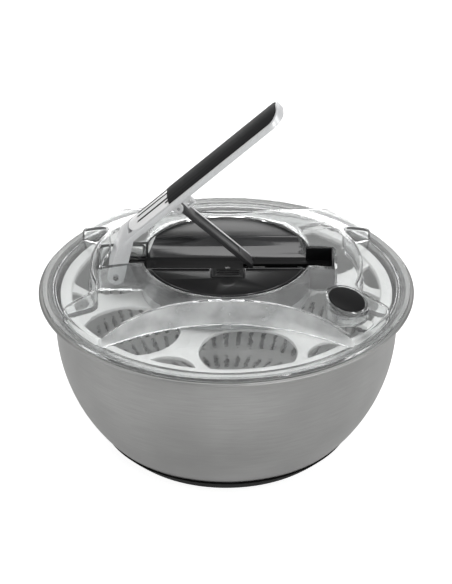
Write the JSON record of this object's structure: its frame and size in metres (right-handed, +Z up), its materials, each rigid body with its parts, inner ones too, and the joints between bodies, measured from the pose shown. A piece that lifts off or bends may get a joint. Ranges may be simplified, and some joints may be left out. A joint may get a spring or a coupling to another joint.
{
  "type": "salad spinner",
  "caption": "Pump-lever salad spinner: steel bowl with rubber base, slotted basket, clear lid with black drive housing, raised lever with link, brake button.",
  "frame": {"origin": "on the table under the centre of the overall bounding box, which is the bowl's axis; Z = 0 is the bottom of the rubber base", "axes": "+Z up along the bowl's axis; +X from the lever's hinge toward its free end; -Y is the front, where the brake button and the lever's lock are"},
  "size_m": [0.268, 0.268, 0.2623],
  "materials": {
    "bowl": "fine circumferential brushing",
    "non_slip_base": "matt rubber",
    "basket": "translucent moulded polypropylene",
    "basket_cover": "translucent moulded polypropylene",
    "drive_hub": "moulded acetal",
    "hub_clip": "spring steel",
    "clutch_rollers": "ground steel",
    "drive_gear": "moulded acetal",
    "compound_gear": "moulded acetal",
    "gear_shaft": "ground steel",
    "rack_slider": "moulded acetal",
    "gear_housing": "translucent moulded plastic",
    "hub_bush": "sintered bronze",
    "housing_screws": "zinc plated",
    "mechanism_cover": "satin moulded ABS",
    "lid_shell": "clear moulded styrene acrylonitrile",
    "lever_frame": "clear moulded plastic with a silver core",
    "lever_panel": "silver moulded plastic with dark grooves",
    "lever_grip": "soft-touch elastomer",
    "lever_pin": "ground steel",
    "lever_spring": "spring steel",
    "push_link": "satin moulded nylon",
    "link_upper_pin": "ground steel",
    "link_lower_pin": "ground steel",
    "lever_lock": "satin moulded ABS",
    "brake_button": "soft-touch cap",
    "brake_plunger": "moulded acetal",
    "brake_pad": "matt rubber",
    "brake_spring": "spring steel"
  },
  "bodies": {
    "bowl": {"bowl": "bowl", "non_slip_base": "non_slip_base"},
    "basket": {"basket": "basket"},
    "lid": {"lid_shell": "lid_shell", "mechanism_cover": "mechanism_cover", "gear_housing": "gear_housing", "hub_bush": "hub_bush", "housing_screws": "housing_screws", "gear_shaft": "gear_shaft", "lever_pin": "lever_pin", "lever_spring": "lever_spring", "brake_spring": "brake_spring"},
    "rotor": {"basket_cover": "basket_cover", "drive_hub": "drive_hub", "hub_clip": "hub_clip", "clutch_rollers": "clutch_rollers"},
    "drive_gear": {"drive_gear": "drive_gear"},
    "compound_gear": {"compound_gear": "compound_gear"},
    "rack": {"rack_slider": "rack_slider"},
    "lever": {"lever_frame": "lever_frame", "lever_panel": "lever_panel", "lever_grip": "lever_grip", "link_upper_pin": "link_upper_pin"},
    "link": {"push_link": "push_link", "link_lower_pin": "link_lower_pin"},
    "lock": {"lever_lock": "lever_lock"},
    "brake": {"brake_button": "brake_button", "brake_plunger": "brake_plunger", "brake_pad": "brake_pad"}
  },
  "joints": [
    {"name": "lid_lift", "type": "slide", "parent": "bowl", "child": "lid", "axis": [0, 0, 1], "range_m": [0, 0.13]},
    {"name": "basket_spin", "type": "hinge", "parent": "bowl", "child": "basket", "pos_m": [0, 0, 0.02], "axis": [0, 0, 1], "continuous": true},
    {"name": "cover_spin", "type": "hinge", "parent": "lid", "child": "rotor", "pos_m": [0, 0, 0.121], "axis": [0, 0, 1], "continuous": true},
    {"name": "lever_hinge", "type": "hinge", "parent": "lid", "child": "lever", "pos_m": [-0.078, 0.004, 0.1335], "axis": [0, 1, 0], "range_deg": [0, 42], "stiffness_Nm_per_rad": 0.12, "springref_deg": -57.3, "deforming": ["lever_spring"]},
    {"name": "link_swing", "type": "hinge", "parent": "lever", "child": "link", "pos_m": [-0.03349, 0.004, 0.18569], "axis": [0, 1, 0], "range_deg": [-80.28, 0]},
    {"name": "rack_slide", "type": "slide", "parent": "lid", "child": "rack", "axis": [1, 0, 0], "range_m": [0, 0.04715]},
    {"name": "compound_gear_spin", "type": "hinge", "parent": "lid", "child": "compound_gear", "pos_m": [0, -0.029, 0.121], "axis": [0, 0, 1], "range_deg": [-450.2, 0]},
    {"name": "drive_gear_spin", "type": "hinge", "parent": "lid", "child": "drive_gear", "pos_m": [0, 0, 0.121], "axis": [0, 0, 1], "range_deg": [0, 855.2]},
    {"name": "lever_lock_slide", "type": "slide", "parent": "lid", "child": "lock", "axis": [0, 1, 0], "range_m": [0, 0.006]},
    {"name": "brake_press", "type": "slide", "parent": "lid", "child": "brake", "axis": [0, 0, -1], "range_m": [0, 0.0045], "stiffness_N_per_m": 300, "springref_m": -0.004, "deforming": ["brake_spring"]}
  ],
  "couplings": [
    {"joint": "cover_spin", "follows": "basket_spin", "ratio": 1},
    {"joint": "link_swing", "follows": "lever_hinge", "ratio": -1.9103},
    {"joint": "rack_slide", "follows": "lever_hinge", "m_per_rad": 0.064283},
    {"joint": "compound_gear_spin", "follows": "lever_hinge", "ratio": -10.714},
    {"joint": "drive_gear_spin", "follows": "lever_hinge", "ratio": 20.356}
  ]
}
